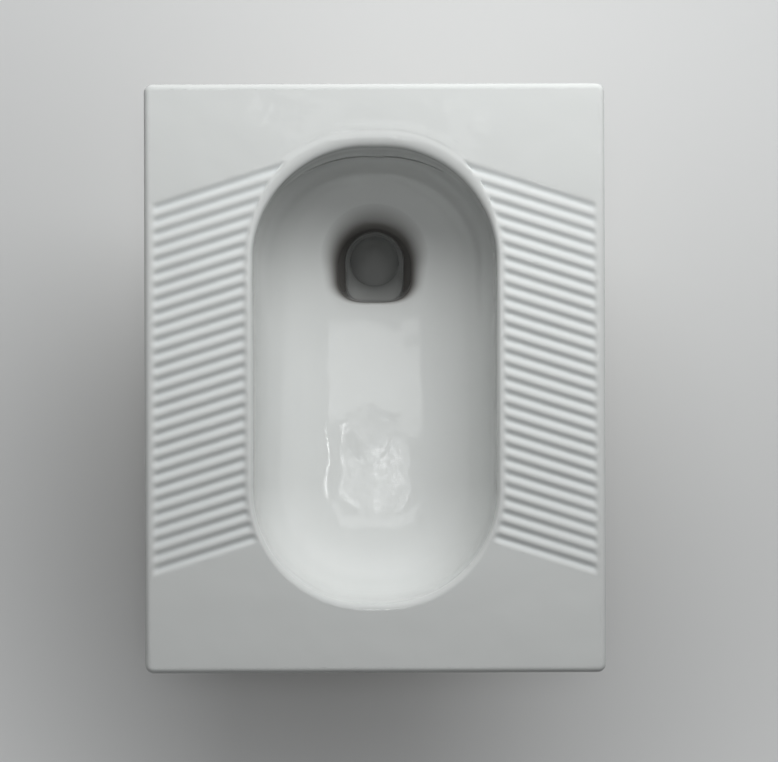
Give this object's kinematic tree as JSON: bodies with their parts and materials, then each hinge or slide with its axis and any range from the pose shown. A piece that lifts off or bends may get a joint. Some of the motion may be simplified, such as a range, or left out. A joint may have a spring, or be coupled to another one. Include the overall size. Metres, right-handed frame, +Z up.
{
  "type": "squat toilet",
  "caption": "Glazed ceramic squat toilet pan with ribbed foot treads, an oval bowl, a flush box under its rim and a built-in siphon trap.",
  "frame": {"origin": "on the surface that the pan stands on, under the middle of the deck", "axes": "+Z up, +Y towards the inlet end of the deck, X across the pan"},
  "size_m": [0.43, 0.55, 0.29],
  "materials": {
    "glaze": "glossy white glaze",
    "bisque": "bare fired clay, matt",
    "seal": "moulded rubber, satin"
  },
  "bodies": {
    "root": {"deck": "glaze", "bowl": "glaze", "flush_box": "bisque", "inlet_horn": "bisque", "trap_throat": "glaze", "trap_bend": "glaze", "trap_weir": "glaze", "outlet_spigot": "glaze", "inlet_seal": "seal", "outlet_seal": "seal"}
  },
  "joints": []
}
